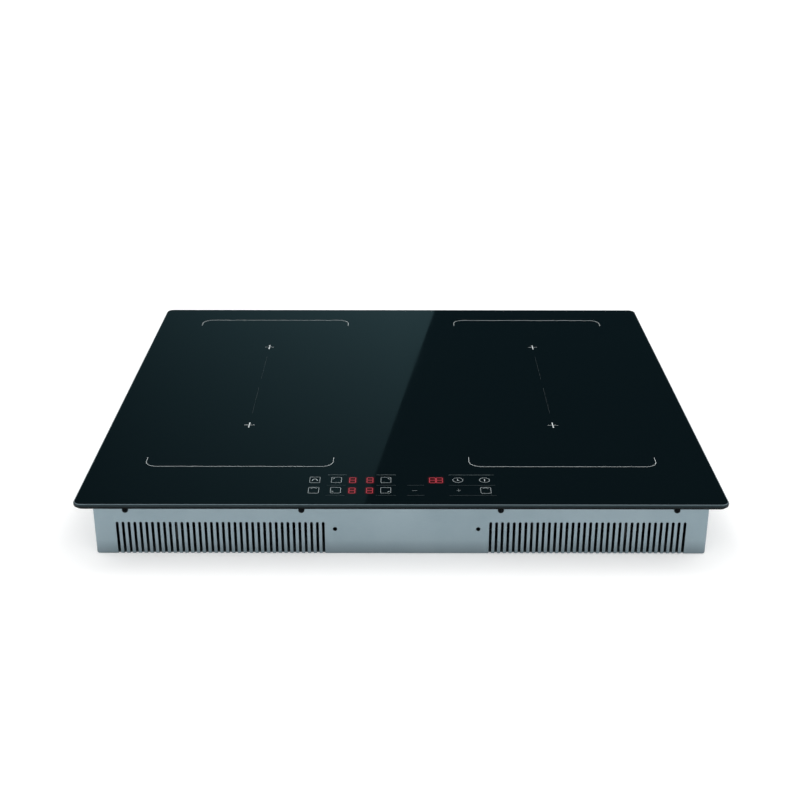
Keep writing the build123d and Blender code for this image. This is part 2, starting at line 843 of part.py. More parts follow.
# Flat cable: out of the holder, down to the floor, back and up onto the filter board
cable_half = cable_thickness / 2
cable_drop_y = holder_rear_y + cable_drop_gap
cable_rise_y = filter_front_y - carrier_lip - cable_rise_gap
with BuildPart() as control_cable:
    with BuildSketch(Plane.YZ.offset(-cable_width / 2)):
        with BuildLine():
            FilletPolyline(
                (holder_rear_y - cable_overlap, control_z - cable_half),
                (cable_drop_y, control_z - cable_half),
                (cable_drop_y, sheet + cable_half),
                (cable_rise_y, sheet + cable_half),
                (cable_rise_y, board_top + cable_half),
                (filter_front_y + cable_overlap, board_top + cable_half),
                radius=cable_bend,
            )
        trace(line_width=cable_thickness)
    extrude(amount=cable_width)
write(control_cable.part, "control_cable")

# Screws of the boards, and the shorter ones of the holder's ears
board_screw_places_all = board_screw_places(-1) + board_screw_places(1) + filter_screws
ear_screws = [(-ear_screw_x, ear_y), (ear_screw_x, ear_y)]
with BuildPart() as board_screws:
    with Locations(*[(x, y, board_top) for x, y in board_screw_places_all]):
        add(pan_screw.part)
    with Locations(*[(x, y, ear_z) for x, y in ear_screws]):
        Cylinder(screw_radius, holder_ear_thickness + frame_sheet, align=middle_low)
        Cylinder(head_radius, head_height, align=middle_high)
write(board_screws.part, "board_screws")

# Terminal box, open to the rear, with seats for the cover's journals and a stop for its catch
lug_xs = (
    opening_left - journal_reach / 2 - journal_end_gap,
    opening_left + opening_width + journal_reach / 2 + journal_end_gap,
)
lug_height = hinge_z + lug_size / 2 - sheet - box_wall
catch_top = cover_top - catch_drop
with BuildPart() as terminal_box:
    with Locations((0, box_front_y, sheet)):
        Box(2 * box_half_width, box_depth, box_height, align=(Align.CENTER, Align.MIN, Align.MIN))
    chamfer(terminal_box.faces().sort_by(Axis.Y)[-1].edges().sort_by(Axis.Z)[0], bend_radius)
    with Locations((0, box_front_y + box_wall, sheet + box_wall)):
        Box(
            2 * (box_half_width - box_wall),
            box_depth,
            box_height - 2 * box_wall,
            align=(Align.CENTER, Align.MIN, Align.MIN),
            mode=Mode.SUBTRACT,
        )
    with Locations(*[(x, inner_rear_y, sheet + box_wall) for x in lug_xs]):
        Box(journal_reach, lug_size, lug_height, align=(Align.CENTER, Align.MAX, Align.MIN))
    with Locations(*[(x, hinge_y, hinge_z) for x in lug_xs]):
        Cylinder(
            journal_radius + journal_clearance,
            2 * journal_reach,
            rotation=(0, 90, 0),
            mode=Mode.SUBTRACT,
        )
        Box(
            2 * journal_reach,
            lug_size,
            2 * (journal_radius + journal_clearance),
            align=(Align.CENTER, Align.MIN, Align.CENTER),
            mode=Mode.SUBTRACT,
        )
    with Locations((cover_x, inner_rear_y, sheet + box_height)):
        Box(
            catch_width,
            catch_reach,
            sheet + box_height - catch_top - catch_gap,
            align=(Align.CENTER, Align.MAX, Align.MAX),
        )
write(terminal_box.part, "terminal_box")

# Hinged cover of the mains opening
cover_height = cover_top - hinge_z
with BuildPart() as terminal_cover:
    with Locations((cover_x, casing_depth / 2, hinge_z)):
        Box(cover_width, cover_thickness, cover_height, align=(Align.CENTER, Align.MAX, Align.MIN))
    with Locations((cover_x, hinge_y, hinge_z)):
        Cylinder(barrel_radius, cover_width, rotation=(0, 90, 0))
        Cylinder(journal_radius, cover_width + 2 * (cover_gap + journal_reach), rotation=(0, 90, 0))
    with Locations((cover_x, hinge_y, catch_top)):
        Box(catch_width, catch_reach, catch_thickness, align=(Align.CENTER, Align.MAX, Align.MAX))
    with Locations((cover_x, casing_depth / 2, cover_top)):
        Box(grip_width, 2 * grip_depth, 2 * grip_height, mode=Mode.SUBTRACT)
write(terminal_cover.part, "terminal_cover")

# Terminal block with wire holes, and its clamp screws
way_pitch = block_width / ways
block_rear_y = box_front_y + box_wall + block_gap + block_depth
block_z = sheet + box_wall
way_xs = [block_left + way_pitch * (index + 0.5) for index in range(ways)]
block_face = Plane.XZ.offset(-block_rear_y)
with BuildPart() as terminal_block:
    with Locations((block_left + block_width / 2, block_rear_y, block_z)):
        Box(block_width, block_depth, block_height, align=(Align.CENTER, Align.MAX, Align.MIN))
    with BuildSketch(block_face):
        with Locations(*[(x, block_z + wire_hole_height) for x in way_xs]):
            Circle(wire_hole_radius)
    extrude(amount=wire_hole_depth, mode=Mode.SUBTRACT)
write(terminal_block.part, "terminal_block")

with BuildPart() as terminal_screws:
    with BuildSketch(block_face):
        with Locations(*[(x, block_z + clamp_height) for x in way_xs]):
            Circle(clamp_radius)
    extrude(amount=-clamp_head)
    with BuildSketch(block_face.offset(-clamp_head)):
        with Locations(*[(x, block_z + clamp_height) for x in way_xs]):
            Rectangle(2 * clamp_radius, clamp_slot)
    extrude(amount=clamp_slot, mode=Mode.SUBTRACT)
write(terminal_screws.part, "terminal_screws")

# Rubber grommet for the mains cable
with BuildPart(Plane((grommet_x, casing_depth / 2, grommet_z), (1, 0, 0), (0, 1, 0))) as cable_grommet:
    Cylinder(grommet_flange_radius, grommet_flange, align=middle_low)
    Cylinder(grommet_neck_radius, sheet, align=middle_high)
    with Locations((0, 0, -sheet)):
        Cylinder(grommet_flange_radius, grommet_flange, align=middle_high)
    Cylinder(grommet_bore_radius, 4 * (sheet + grommet_flange), mode=Mode.SUBTRACT)
write(cable_grommet.part, "cable_grommet")
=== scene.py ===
# %% [markdown]
# # The looks of an induction cooktop
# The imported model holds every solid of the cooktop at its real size. This lesson adds what solids
# alone can't show: the finish of each surface, the enamel print on the glass, the lit digits, and
# the soft and wound pieces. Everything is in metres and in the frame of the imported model.

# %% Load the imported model
from math import pi, radians, sin

import bpy
import numpy as np
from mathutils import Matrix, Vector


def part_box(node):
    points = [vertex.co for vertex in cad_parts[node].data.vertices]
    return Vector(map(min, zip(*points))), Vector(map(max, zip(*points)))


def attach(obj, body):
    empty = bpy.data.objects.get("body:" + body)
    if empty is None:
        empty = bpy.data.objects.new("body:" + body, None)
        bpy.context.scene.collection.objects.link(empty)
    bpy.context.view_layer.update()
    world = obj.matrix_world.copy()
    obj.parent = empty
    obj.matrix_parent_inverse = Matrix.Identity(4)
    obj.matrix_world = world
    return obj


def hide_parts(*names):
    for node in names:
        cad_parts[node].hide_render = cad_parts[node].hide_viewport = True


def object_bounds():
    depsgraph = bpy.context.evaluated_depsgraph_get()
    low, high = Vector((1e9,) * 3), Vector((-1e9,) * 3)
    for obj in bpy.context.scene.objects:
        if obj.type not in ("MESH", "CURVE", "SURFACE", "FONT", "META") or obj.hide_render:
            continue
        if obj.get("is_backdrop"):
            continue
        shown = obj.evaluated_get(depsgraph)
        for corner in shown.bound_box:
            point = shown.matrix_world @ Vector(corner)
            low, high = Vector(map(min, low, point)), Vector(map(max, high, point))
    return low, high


MM = 0.001
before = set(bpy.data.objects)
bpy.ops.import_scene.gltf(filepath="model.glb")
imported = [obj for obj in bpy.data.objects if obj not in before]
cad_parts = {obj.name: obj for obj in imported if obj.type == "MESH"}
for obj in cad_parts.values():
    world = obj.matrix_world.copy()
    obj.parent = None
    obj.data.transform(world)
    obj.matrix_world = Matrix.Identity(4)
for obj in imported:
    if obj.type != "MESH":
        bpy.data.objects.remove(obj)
cad_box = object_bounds()
glass_low, glass_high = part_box("glass_panel")
print("nodes", len(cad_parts), "glass top", round(glass_high.z, 4))

# %% [markdown]
# ## Camera
# The picture is taken from straight in front, about 1.4 m away and looking down, with the camera
# turned by less than a tenth of a degree. Its place was solved from the edges of the glass and the
# tray. An aimed camera with a constraint would also work, but fixed numbers say exactly where it stood.

# %% Set the camera
camera_lens = 57.48
camera_sensor = 36.0
camera_place = (-1.2 * MM, -1268.5 * MM, 601.5 * MM)
camera_pitch = 23.6
camera_tilt = -0.062
camera_yaw = -0.023

camera_data = bpy.data.cameras.new("camera")
camera_data.lens = camera_lens
camera_data.sensor_width = camera_sensor
camera = bpy.data.objects.new("camera", camera_data)
camera.location = camera_place
camera.rotation_euler = (radians(90 - camera_pitch), radians(camera_tilt), radians(-camera_yaw))
bpy.context.scene.collection.objects.link(camera)
bpy.context.scene.camera = camera
bpy.context.scene.view_settings.view_transform = "Standard"
print("camera at", tuple(camera.location))

# %% [markdown]
# ## Helpers for materials
# Colours are easiest to read as the hex values of an sRGB picker, but shaders work in linear light,
# so one function converts them. Another adds a node: its settings come by name, and each input gets
# either a link or a plain value. The Mix node's colour sockets share their names with its number
# sockets, so they are reached by their places instead, and so are the twin inputs of the Math and the
# Add Shader node.

# %% Colours and nodes
MIX_A, MIX_B, MIX_COLOUR = 6, 7, 2


def colour(code):
    """Linear RGBA of an sRGB hex value: the dark end is a straight line, the rest a power of 2.4."""
    srgb = np.array([int(code[place:place + 2], 16) for place in (1, 3, 5)]) / 255
    linear = np.where(srgb <= 0.04045, srgb / 12.92, ((srgb + 0.055) / 1.055) ** 2.4)
    return (*linear.tolist(), 1.0)


def add(tree, kind, inputs=None, **settings):
    """Add a node of one kind, give it its settings, then link or set each named input."""
    node = tree.nodes.new("ShaderNode" + kind)
    for name, value in settings.items():
        setattr(node, name, value)
    for name, value in (inputs or {}).items():
        if isinstance(value, bpy.types.NodeSocket):
            tree.links.new(value, node.inputs[name])
        else:
            node.inputs[name].default_value = value
    return node


def start(name):
    """A new material with an empty node tree, that tree, and the piece's own coordinates in it."""
    material = bpy.data.materials.new(name)
    material.use_nodes = True
    tree = material.node_tree
    tree.nodes.clear()
    return material, tree, add(tree, "TexCoord").outputs["Object"]


print("a mid grey is", round(colour("#808080")[0], 3), "in linear light")

# %% [markdown]
# Many pieces share one plan: a moulded, cast or rolled material whose fine grain is the same in its
# colour, its gloss and its relief. That plan is a function of the grain's size in millimetres, so
# each of those finishes is one call. Noise is the usual start for such a grain, because it never
# repeats, and stretching it turns spots into rolling or drawing lines.

# %% A grained finish
grain_detail = 4.0


def grained(name, pale, dark, grain, depth, roughness, metallic=0.0, ior=1.5, stretch=(1, 1, 1)):
    """Noise with spots of the grain's size blends two colours, moves the roughness between two
    values and lifts the surface by up to the depth. Grain and depth are in millimetres, and stretch
    packs the spots closer along an axis."""
    material, tree, coords = start(name)
    drawn = add(tree, "Mapping", {"Vector": coords, "Scale": stretch})
    noise = add(
        tree,
        "TexNoise",
        {"Vector": drawn.outputs["Vector"], "Scale": 1 / (grain * MM), "Detail": grain_detail},
    )
    spots = noise.outputs["Fac"]
    tint = add(
        tree, "Mix", {"Factor": spots, MIX_A: colour(pale), MIX_B: colour(dark)}, data_type="RGBA"
    )
    gloss = add(tree, "MapRange", {"Value": spots, "To Min": roughness[0], "To Max": roughness[1]})
    relief = add(tree, "Bump", {"Height": spots, "Distance": depth * MM})
    shader = add(
        tree,
        "BsdfPrincipled",
        {
            "Base Color": tint.outputs[MIX_COLOUR],
            "Roughness": gloss.outputs["Result"],
            "Metallic": metallic,
            "IOR": ior,
            "Normal": relief.outputs["Normal"],
        },
    )
    add(tree, "OutputMaterial", {"Surface": shader.outputs["BSDF"]})
    return material


finishes = {}
print("grained finishes take", grained.__code__.co_argcount, "values")

# %% [markdown]
# ## Light
# Black glass shows whatever stands opposite the camera, so the light is placed by height. A pale
# band lies along the horizon, the sky above it is a very dark teal, and a bright ring higher up
# lights the cooktop softly from all round. The whole sky is tipped by a few degrees, so that the band
# lies higher on one side. The camera sees the dark sky in the glass, never the ring.

# %% Sky
sky_peak = 2.5
sky_tip = (-3.5, -3.5)
sky_dark = "#183037"
sky_white = "#FFFFFF"
# Each row holds a height in degrees, a strength and a colour.
sky_levels = (
    (0.0, 1.0, sky_white),
    (12.0, 1.0, sky_white),
    (15.0, 1.0, sky_dark),
    (38.0, 1.0, sky_dark),
    (46.0, sky_peak, sky_white),
    (64.0, sky_peak, sky_white),
    (76.0, 0.3, sky_white),
    (90.0, 0.2, sky_white),
)

world = bpy.data.worlds.new("studio")
bpy.context.scene.world = world
world.use_nodes = True
sky = world.node_tree
sky.nodes.clear()
tip = [radians(angle) for angle in (*sky_tip, 0.0)]
tipped = add(sky, "Mapping", {"Vector": add(sky, "TexCoord").outputs["Generated"], "Rotation": tip})
axes = add(sky, "SeparateXYZ", {"Vector": tipped.outputs["Vector"]})
ramp = add(sky, "ValToRGB", {"Fac": axes.outputs["Z"]})
steps = ramp.color_ramp.elements
# A new colour ramp has two steps already, so only the later ones are added.
for place, (elevation, level, tint) in enumerate(sky_levels):
    step = steps[place] if place < 2 else steps.new(1.0)
    step.position = sin(radians(elevation))
    step.color = [level / sky_peak * part for part in colour(tint)]
shine = add(sky, "Background", {"Color": ramp.outputs["Color"], "Strength": sky_peak})
add(sky, "OutputWorld", {"Surface": shine.outputs["Background"]})
print("sky steps", len(steps))

# %% [markdown]
# ## Floor
# The cooktop stands on a sweep of matt white paper. A plain white shader would do, but real paper
# is a little uneven, so faint mottling moves its colour. A glow, for what the camera sees directly,
# in a mirror or through glass, lifts the open paper to white and leaves a soft shadow.

# %% Floor
floor_half = 30.0
floor_drop = 0.2 * MM
floor_glow = 0.3
mottle_count = 3.0

paper, tree, coords = start("studio paper, matt white")
# The scale of the noise is its number of spots to the metre.
mottle = add(tree, "TexNoise", {"Vector": coords, "Scale": mottle_count})
paper_tint = add(
    tree,
    "Mix",
    {"Factor": mottle.outputs["Fac"], MIX_A: colour("#E4E4E4"), MIX_B: colour("#E0E0E0")},
    data_type="RGBA",
)
paper_shader = add(tree, "BsdfDiffuse", {"Color": paper_tint.outputs[MIX_COLOUR]})
path = add(tree, "LightPath").outputs
seen = add(tree, "Math", {0: path["Is Camera Ray"], 1: path["Is Glossy Ray"]}, operation="ADD")
seen = add(tree, "Math", {0: seen.outputs["Value"], 1: path["Is Transmission Ray"]}, operation="ADD")
lift = add(tree, "Math", {0: seen.outputs["Value"], 1: floor_glow}, operation="MULTIPLY")
glow = add(tree, "Emission", {"Strength": lift.outputs["Value"]})
paper_sum = add(tree, "AddShader", {0: paper_shader.outputs["BSDF"], 1: glow.outputs["Emission"]})
add(tree, "OutputMaterial", {"Surface": paper_sum.outputs["Shader"]})

corners = np.array([(-1, -1, 0), (1, -1, 0), (1, 1, 0), (-1, 1, 0)]) * floor_half - (0, 0, floor_drop)
floor_mesh = bpy.data.meshes.new("floor")
floor_mesh.from_pydata(corners.tolist(), [], [(0, 1, 2, 3)])
floor_mesh.materials.append(paper)
floor = bpy.data.objects.new("floor", floor_mesh)
bpy.context.scene.collection.objects.link(floor)
floor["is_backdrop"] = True
print("floor half width", floor_half)

# %% [markdown]
# ## Soft card behind the cooktop
# The left part of the glass is a shade lighter, with a straight slanting edge: it mirrors a large
# dim card. To find where the card's edge must be, the camera is mirrored in the plane of the glass,
# and the sight lines through both ends of that edge are run on until they reach the card.

# %% Place of the card
card_y = 2.5
card_edge_rear = np.array((42.6 * MM, 258.0 * MM, glass_high.z))
card_edge_front = np.array((-32.7 * MM, -256.5 * MM, glass_high.z))
card_reach = 3.0
card_overlap = 0.2

mirrored_eye = np.array((camera_place[0], camera_place[1], 2 * glass_high.z - camera_place[2]))
edge_ends = []
for point in (card_edge_rear, card_edge_front):
    share = (card_y - mirrored_eye[1]) / (point[1] - mirrored_eye[1])
    edge_ends.append(mirrored_eye + share * (point - mirrored_eye))
low_end, high_end = edge_ends
overlap = card_overlap * (high_end - low_end)
right_side = [low_end - overlap, high_end + overlap]
left_side = [end - (card_reach, 0, 0) for end in right_side]
print("card edge from", low_end.round(3), "to", high_end.round(3))

# %% [markdown]
# The card is diffuser cloth, lit from its lower right, so it fades to the left and upwards. It only
# shows in reflections, so it throws no shadow on the paper.

# %% Card
card_light = "#7098A0"
card_fade_left = 1.15
card_fade_top = 0.62

card_cloth, tree, coords = start("diffuser cloth, lit from one corner")
card_axes = add(tree, "SeparateXYZ", {"Vector": coords}).outputs
edge_x = float((low_end[0] + high_end[0]) / 2)
sideways_fade = add(
    tree,
    "MapRange",
    {"Value": card_axes["X"], "From Min": edge_x - card_fade_left, "From Max": edge_x},
).outputs["Result"]
upward_fade = add(
    tree,
    "MapRange",
    {
        "Value": card_axes["Z"],
        "From Min": float(low_end[2]),
        "From Max": float(high_end[2]),
        "To Min": 1.0,
        "To Max": card_fade_top,
    },
).outputs["Result"]
card_level = add(tree, "Math", {0: sideways_fade, 1: upward_fade}, operation="MULTIPLY")
card_tint = add(
    tree,
    "Mix",
    {"Factor": card_level.outputs["Value"], MIX_A: colour(sky_dark), MIX_B: colour(card_light)},
    data_type="RGBA",
)
card_glow = add(tree, "Emission", {"Color": card_tint.outputs[MIX_COLOUR]})
add(tree, "OutputMaterial", {"Surface": card_glow.outputs["Emission"]})

card_mesh = bpy.data.meshes.new("card")
card_mesh.from_pydata([end.tolist() for end in (*left_side, *reversed(right_side))], [], [(0, 1, 2, 3)])
card_mesh.materials.append(card_cloth)
card = bpy.data.objects.new("card", card_mesh)
bpy.context.scene.collection.objects.link(card)
card.visible_camera = False
card.visible_diffuse = False
card.visible_shadow = False
card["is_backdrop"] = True
print("card fades over", card_fade_left, "m")

# %% [markdown]
# ## Black glass-ceramic
# The top is a sheet of black glass-ceramic. Its face comes from the rollers as smooth as a mirror,
# with a trace of wiping haze. Its upper edge is ground to a satin finish. A colour ramp over the
# thickness of the sheet paints the rim by height: a pale line along the ground upper edge, partly the
# paler ground glass and partly a painted highlight, a grey band below it that is painted reflection,
# and a painted black shade on the lower edge. The shader's usual specular level is 0.5. This face
# stays nearly black even where it mirrors a pale wall, so its shine is set lower.

# %% Glass
haze_size = 70.0
haze_range = (0.3, 0.7)
polish_roughness = 0.02
haze_roughness = 0.05
satin_roughness = 0.16
grind_size = 0.4
grind_depth = 0.02 * MM
rim_start = 0.04 * MM
rim_full = 0.12 * MM
glass_ior = 1.54
glass_shine = 0.12
glass_tinge = "#C6E6EE"
glass_face = "#081013"
# Each row holds a depth below the face in millimetres, and the colour there. The pale rows are a
# painted highlight on the ground edge, partly the ground glass's own paler tone, the grey rows are
# painted reflection, and the near-black rows are painted shade on the lower edge.
rim_shades = (
    (4.0, "#020506"),
    (2.4, "#020506"),
    (2.15, "#242D31"),
    (0.45, "#2E383C"),
    (0.24, "#68777D"),
    (0.1, "#68777D"),
    (0.04, glass_face),
)

glass, tree, coords = start("glass-ceramic, polished face and ground rim")
haze = add(tree, "TexNoise", {"Vector": coords, "Scale": 1 / (haze_size * MM), "Detail": 5.0})
polish = add(
    tree,
    "MapRange",
    {
        "Value": haze.outputs["Fac"],
        "From Min": haze_range[0],
        "From Max": haze_range[1],
        "To Min": polish_roughness,
        "To Max": haze_roughness,
    },
)
height = add(tree, "SeparateXYZ", {"Vector": coords}).outputs["Z"]
rim = add(
    tree,
    "MapRange",
    {
        "Value": height,
        "From Min": glass_high.z - rim_full,
        "From Max": glass_high.z - rim_start,
        "To Min": 1.0,
        "To Max": 0.0,
    },
).outputs["Result"]
satin = add(tree, "Mix", {"Factor": rim, "A": polish.outputs["Result"], "B": satin_roughness})
level = add(tree, "MapRange", {"Value": height, "From Min": glass_low.z, "From Max": glass_high.z})
# This ramp paints the rim's highlight, reflection and shade by height.
glass_tint = add(tree, "ValToRGB", {"Fac": level.outputs["Result"]})
shades = glass_tint.color_ramp.elements
# As in the sky, the first two steps are there already.
for place, (depth, shade) in enumerate(rim_shades):
    step = shades[place] if place < 2 else shades.new(1.0)
    step.position = 1 - depth * MM / (glass_high.z - glass_low.z)
    step.color = colour(shade)
grind = add(tree, "TexNoise", {"Vector": coords, "Scale": 1 / (grind_size * MM), "Detail": 2.0})
grinding = add(
    tree, "Bump", {"Height": grind.outputs["Fac"], "Strength": rim, "Distance": grind_depth}
)
glass_shader = add(
    tree,
    "BsdfPrincipled",
    {
        "Base Color": glass_tint.outputs["Color"],
        "Roughness": satin.outputs["Result"],
        "IOR": glass_ior,
        "Specular IOR Level": glass_shine,
        "Specular Tint": colour(glass_tinge),
        "Normal": grinding.outputs["Normal"],
    },
)
add(tree, "OutputMaterial", {"Surface": glass_shader.outputs["BSDF"]})
finishes["black_glass"] = glass
print("glass rim begins", rim_start, "m below the face")

# %% [markdown]
# ## Zinc-coated tray
# The tray is folded from zinc-coated steel sheet and passivated in a bath: a dull blue-grey metal with
# faint rolling lines and a cloudy bloom. Brushed metal is often made by stretching noise along one
# axis. Here it is squeezed along the height, so the lines run level round all four walls, as they do
# on a folded strip. A painted shade darkens the colour towards the lower edge.

# %% Tray steel
rolling_size = 6.0
rolling_squeeze = 14.0
rolling_share = 0.35
rolling_depth = 0.008 * MM
bloom_size = 45.0
# The lowest part of the tray gets a painted shade: how high it reaches, and the colour the steel is
# multiplied by at the floor.
drain_height = 14.0 * MM
drain_shade = "#D3D3D3"
steel_roughness = (0.42, 0.58)

tray_steel, tree, coords = start("zinc-coated steel sheet, rolled and passivated")
squeezed = add(tree, "Mapping", {"Vector": coords, "Scale": (1, 1, rolling_squeeze)})
lines = add(
    tree,
    "TexNoise",
    {"Vector": squeezed.outputs["Vector"], "Scale": 1 / (rolling_size * MM), "Detail": 3.0},
)
bloom = add(tree, "TexNoise", {"Vector": coords, "Scale": 1 / (bloom_size * MM), "Detail": 4.0})
mixed = add(
    tree,
    "Mix",
    {"Factor": rolling_share, "A": bloom.outputs["Fac"], "B": lines.outputs["Fac"]},
).outputs["Result"]
steel_tint = add(
    tree, "Mix", {"Factor": mixed, MIX_A: colour("#99A8AF"), MIX_B: colour("#899CA4")}, data_type="RGBA"
)
# Painted shade: the colour darkens towards the lower edge, down to the painted shade colour at the
# floor.
drain = add(
    tree,
    "MapRange",
    {
        "Value": add(tree, "SeparateXYZ", {"Vector": coords}).outputs["Z"],
        "From Max": drain_height,
        "To Min": 1.0,
        "To Max": 0.0,
    },
).outputs["Result"]
drained_tint = add(
    tree,
    "Mix",
    {"Factor": drain, MIX_A: steel_tint.outputs[MIX_COLOUR], MIX_B: colour(drain_shade)},
    data_type="RGBA",
    blend_type="MULTIPLY",
)
steel_gloss = add(
    tree, "MapRange", {"Value": mixed, "To Min": steel_roughness[0], "To Max": steel_roughness[1]}
)
steel_relief = add(tree, "Bump", {"Height": lines.outputs["Fac"], "Distance": rolling_depth})
steel_shader = add(
    tree,
    "BsdfPrincipled",
    {
        "Base Color": drained_tint.outputs[MIX_COLOUR],
        "Metallic": 1.0,
        "Roughness": steel_gloss.outputs["Result"],
        "Normal": steel_relief.outputs["Normal"],
    },
)
add(tree, "OutputMaterial", {"Surface": steel_shader.outputs["BSDF"]})
finishes["casing_steel"] = tray_steel
print("rolling lines", round(rolling_size / rolling_squeeze, 2), "mm apart")

# %% [markdown]
# ## Frame of galvanised steel
# The frame inside and the board screws are dip-galvanised. The zinc freezes in flat crystals, the
# spangle, each with its own shade. Voronoi cells are the natural pattern for that: one random shade
# per cell, with the cell's size set to that of a fine spangle.

# %% Frame steel
spangle_size = 5.0
spangle_depth = 0.01 * MM
zinc_roughness = (0.28, 0.46)

frame_steel, tree, coords = start("galvanised steel, fine spangle")
spangle = add(tree, "TexVoronoi", {"Vector": coords, "Scale": 1 / (spangle_size * MM)})
shade = add(tree, "SeparateColor", {"Color": spangle.outputs["Color"]}).outputs["Red"]
zinc_tint = add(
    tree, "Mix", {"Factor": shade, MIX_A: colour("#CFD3D5"), MIX_B: colour("#B4BABE")}, data_type="RGBA"
)
zinc_gloss = add(
    tree, "MapRange", {"Value": shade, "To Min": zinc_roughness[0], "To Max": zinc_roughness[1]}
)
zinc_relief = add(tree, "Bump", {"Height": shade, "Distance": spangle_depth})
zinc_shader = add(
    tree,
    "BsdfPrincipled",
    {
        "Base Color": zinc_tint.outputs[MIX_COLOUR],
        "Metallic": 1.0,
        "Roughness": zinc_gloss.outputs["Result"],
        "Normal": zinc_relief.outputs["Normal"],
    },
)
add(tree, "OutputMaterial", {"Surface": zinc_shader.outputs["BSDF"]})
finishes["zinc_steel"] = frame_steel
print("spangle", spangle_size, "mm")

# %% [markdown]
# ## Other metals
# The tray's screws are blackened, the coil plates and heat sinks are plain rolled aluminium, the
# leaf springs are hardened strip, and the clamp screws are turned brass. All are bare metal with a
# fine grain, so the grained finish with metallic at 1 is enough; only colour and stretch differ.

# %% Screws, aluminium, springs and brass
finishes["black_screw"] = grained(
    "steel screw, blackened", "#1A1D20", "#101315", grain=0.4, depth=0.01, roughness=(0.34, 0.5),
    metallic=1.0
)
finishes["aluminium_sheet"] = grained(
    "aluminium, mill rolled", "#DDE0E2", "#C8CCCF", grain=8.0, depth=0.01, roughness=(0.28, 0.42),
    metallic=1.0, stretch=(30, 1, 30)
)
finishes["spring_steel"] = grained(
    "spring steel, hardened strip", "#BFC1C4", "#9DA1A5", grain=1.5, depth=0.005, roughness=(0.22, 0.34),
    metallic=1.0
)
finishes["clamp_brass"] = grained(
    "brass, turned", "#D9BC72", "#BC9A4C", grain=0.6, depth=0.01, roughness=(0.24, 0.38), metallic=1.0
)
print("finishes so far", len(finishes))

# %% [markdown]
# ## Moulded plastics and rubber
# The blowers, carriers, terminal box and cover are injection moulded with a spark-eroded texture: a
# fine even grain that breaks up the shine. The grommet is rubber, rougher still. Such a grain is a
# quarter of a millimetre, which is drawn about three times coarser here so that it shows. Cast and
# laid silicone has no such grain, only a slow ripple.

# %% Plastics and rubber
finishes["black_plastic"] = grained(
    "PBT, moulded black", "#2B2D2F", "#222426", grain=0.8, depth=0.02, roughness=(0.42, 0.58)
)
finishes["grey_plastic"] = grained(
    "nylon, moulded grey", "#868A8D", "#7A7E82", grain=0.7, depth=0.03, roughness=(0.44, 0.6),
    ior=1.53
)
finishes["white_plastic"] = grained(
    "nylon, moulded white", "#EDEBE4", "#E2E0D8", grain=0.8, depth=0.02, roughness=(0.4, 0.55),
    ior=1.53
)
finishes["black_rubber"] = grained(
    "EPDM rubber, moulded", "#242526", "#191A1B", grain=0.6, depth=0.03, roughness=(0.62, 0.8),
    ior=1.48
)
finishes["silicone"] = grained(
    "silicone rubber, cast", "#DCDDDB", "#CFD1CF", grain=2.0, depth=0.02, roughness=(0.4, 0.55),
    ior=1.41
)
finishes["adhesive"] = grained(
    "silicone sealant, laid as a bead", "#3A3B3C", "#2E2F30", grain=3.0, depth=0.1,
    roughness=(0.35, 0.5), ior=1.41
)
print("finishes so far", len(finishes))

# %% [markdown]
# ## Ferrite and components
# Ferrite bars are sintered powder, dull and dark. Transistors and displays are moulded epoxy, and
# film capacitors are dipped in blue lacquer, which is glossy and slightly wavy.

# %% Ferrite and components
finishes["ferrite"] = grained(
    "ferrite, sintered", "#4E5053", "#424447", grain=0.5, depth=0.03, roughness=(0.55, 0.72), ior=2.2
)
finishes["component_black"] = grained(
    "epoxy, transfer moulded", "#3C3D3F", "#313234", grain=0.4, depth=0.01, roughness=(0.45, 0.6),
    ior=1.55
)
finishes["component_blue"] = grained(
    "epoxy lacquer, dipped blue", "#5A7FB4", "#4B70A6", grain=5.0, depth=0.08, roughness=(0.18, 0.3),
    ior=1.55
)
print("finishes so far", len(finishes))

# %% [markdown]
# ## Circuit boards
# A board is glass cloth and resin under green lacquer, with copper tracks that show through as paler
# green ridges. Brick cells with a narrow mortar give straight tracks that jog at right angles, much
# as a router lays them, so no drawing of a real circuit is needed.

# %% Boards
track_length = 14.0
track_pitch = 3.0
track_gap = 0.35
track_depth = 0.05 * MM
cloth_size = 0.6
board_roughness = (0.28, 0.42)

board, tree, coords = start("glass-epoxy board, green lacquer")
tracks = add(
    tree,
    "TexBrick",
    {
        "Vector": coords,
        "Scale": 1.0,
        "Mortar Size": track_gap * MM,
        "Brick Width": track_length * MM,
        "Row Height": track_pitch * MM,
        "Color1": colour("#49895E"),
        "Color2": colour("#40815A"),
        "Mortar": colour("#2C6444"),
    },
)
cloth = add(tree, "TexNoise", {"Vector": coords, "Scale": 1 / (cloth_size * MM)})
board_gloss = add(
    tree,
    "MapRange",
    {"Value": cloth.outputs["Fac"], "To Min": board_roughness[0], "To Max": board_roughness[1]},
)
board_relief = add(
    tree, "Bump", {"Height": tracks.outputs["Fac"], "Distance": track_depth}, invert=True
)
board_shader = add(
    tree,
    "BsdfPrincipled",
    {
        "Base Color": tracks.outputs["Color"],
        "Roughness": board_gloss.outputs["Result"],
        "IOR": 1.52,
        "Normal": board_relief.outputs["Normal"],
    },
)
add(tree, "OutputMaterial", {"Surface": board_shader.outputs["BSDF"]})
finishes["board_green"] = board
print("tracks", track_pitch, "mm apart")

# %% [markdown]
# ## Ribbon cable
# The flat cable is a row of insulated wires moulded side by side, 1.27 mm apart. A wave texture
# across the cable's width gives the valleys between the wires, and a painted shade that darkens the
# colour in those valleys.

# %% Ribbon cable
wire_spacing = 1.27
wire_ridge = 0.2 * MM
ribbon_roughness = (0.5, 0.38)
# A wave texture's bands repeat this often for each 2 pi of its scaled length.
wave_bands = 20

